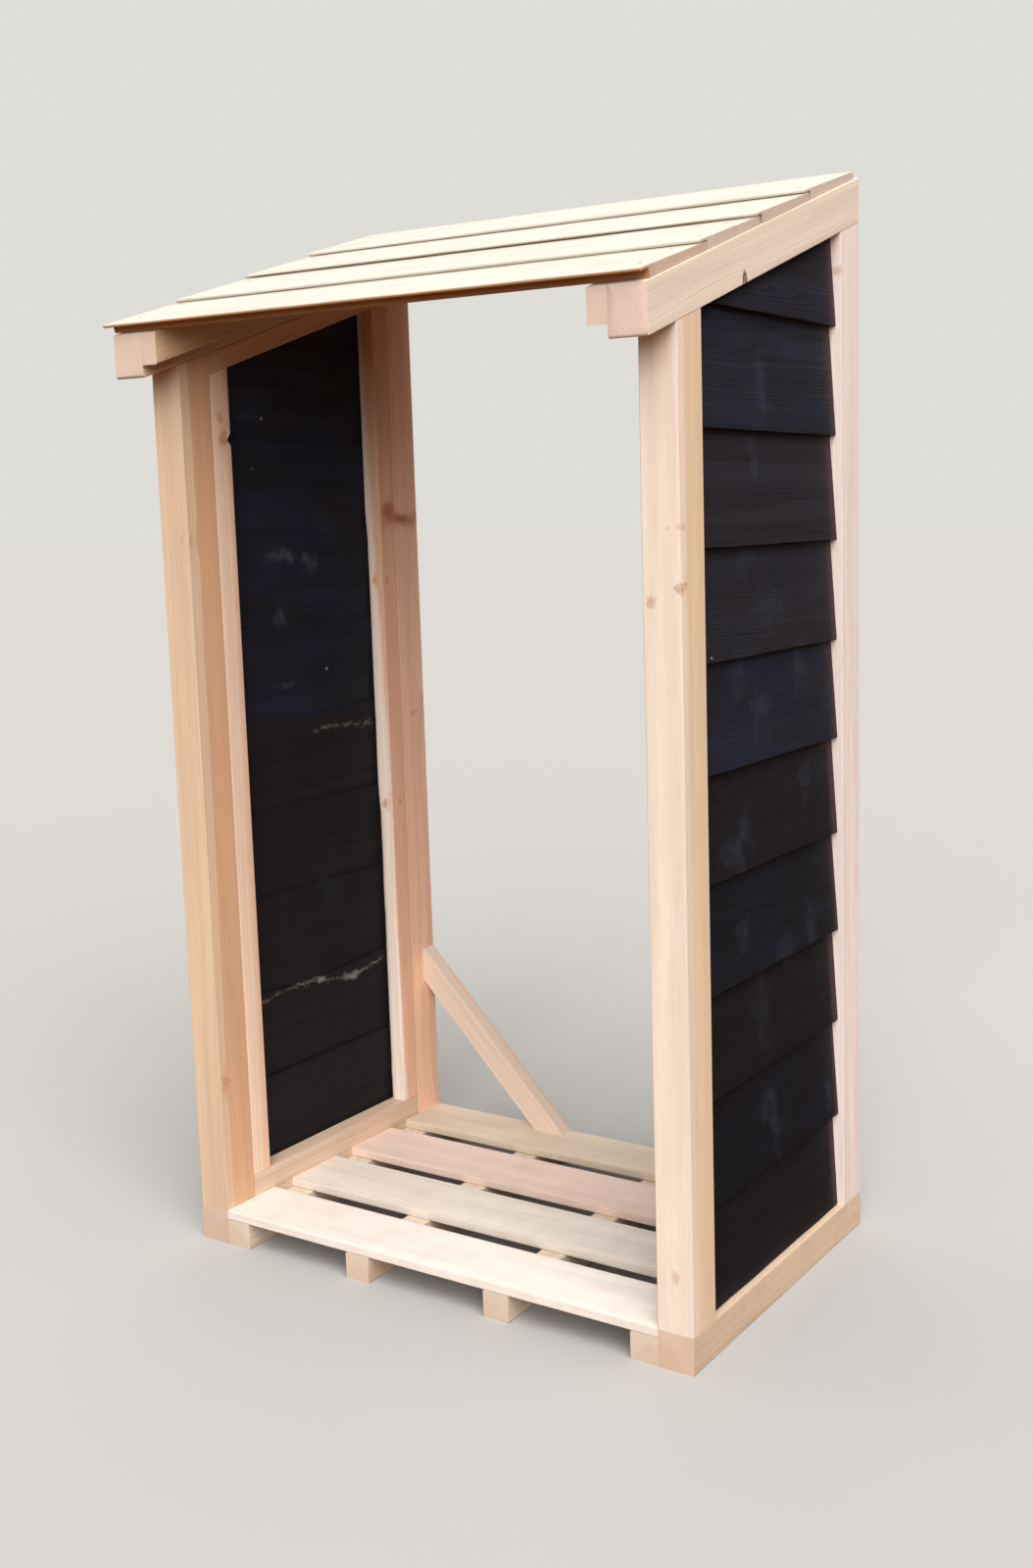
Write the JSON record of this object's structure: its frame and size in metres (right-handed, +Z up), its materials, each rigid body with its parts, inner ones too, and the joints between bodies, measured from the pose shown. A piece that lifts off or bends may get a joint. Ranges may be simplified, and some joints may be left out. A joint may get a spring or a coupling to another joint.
{
  "type": "log store",
  "caption": "Open timber log store with lapped black side boards, a slatted floor on bearers, corner braces at the open back and a lapped lean-to roof.",
  "frame": {"origin": "under the middle of the bounding box, on the ground plane that the rails and bearers rest on", "axes": "+X to the right as seen from the open front, +Y from the front to the back, +Z up"},
  "size_m": [1.05, 0.7244, 1.8697],
  "materials": {
    "frame_timber": "planed, untreated",
    "floor_timber": "planed, untreated",
    "roof_timber": "planed, untreated",
    "black_boards": "black stain, matt"
  },
  "bodies": {
    "root": {"left_bottom_rail": "frame_timber", "left_front_post": "frame_timber", "left_rear_post": "frame_timber", "left_outer_rafter": "frame_timber", "left_inner_rafter": "frame_timber", "left_bottom_batten": "frame_timber", "left_top_batten": "frame_timber", "left_front_stile": "frame_timber", "left_rear_stile": "frame_timber", "left_brace": "frame_timber", "left_odd_boards": "black_boards", "left_even_boards": "black_boards", "right_bottom_rail": "frame_timber", "right_front_post": "frame_timber", "right_rear_post": "frame_timber", "right_outer_rafter": "frame_timber", "right_inner_rafter": "frame_timber", "right_bottom_batten": "frame_timber", "right_top_batten": "frame_timber", "right_front_stile": "frame_timber", "right_rear_stile": "frame_timber", "right_brace": "frame_timber", "right_odd_boards": "black_boards", "right_even_boards": "black_boards", "floor_bearer_1": "frame_timber", "floor_bearer_2": "frame_timber", "floor_bearer_3": "frame_timber", "floor_bearer_4": "frame_timber", "floor_board_1": "floor_timber", "floor_board_2": "floor_timber", "floor_board_3": "floor_timber", "floor_board_4": "floor_timber", "roof_board_1": "roof_timber", "roof_board_2": "roof_timber", "roof_board_3": "roof_timber", "roof_board_4": "roof_timber"}
  },
  "joints": []
}
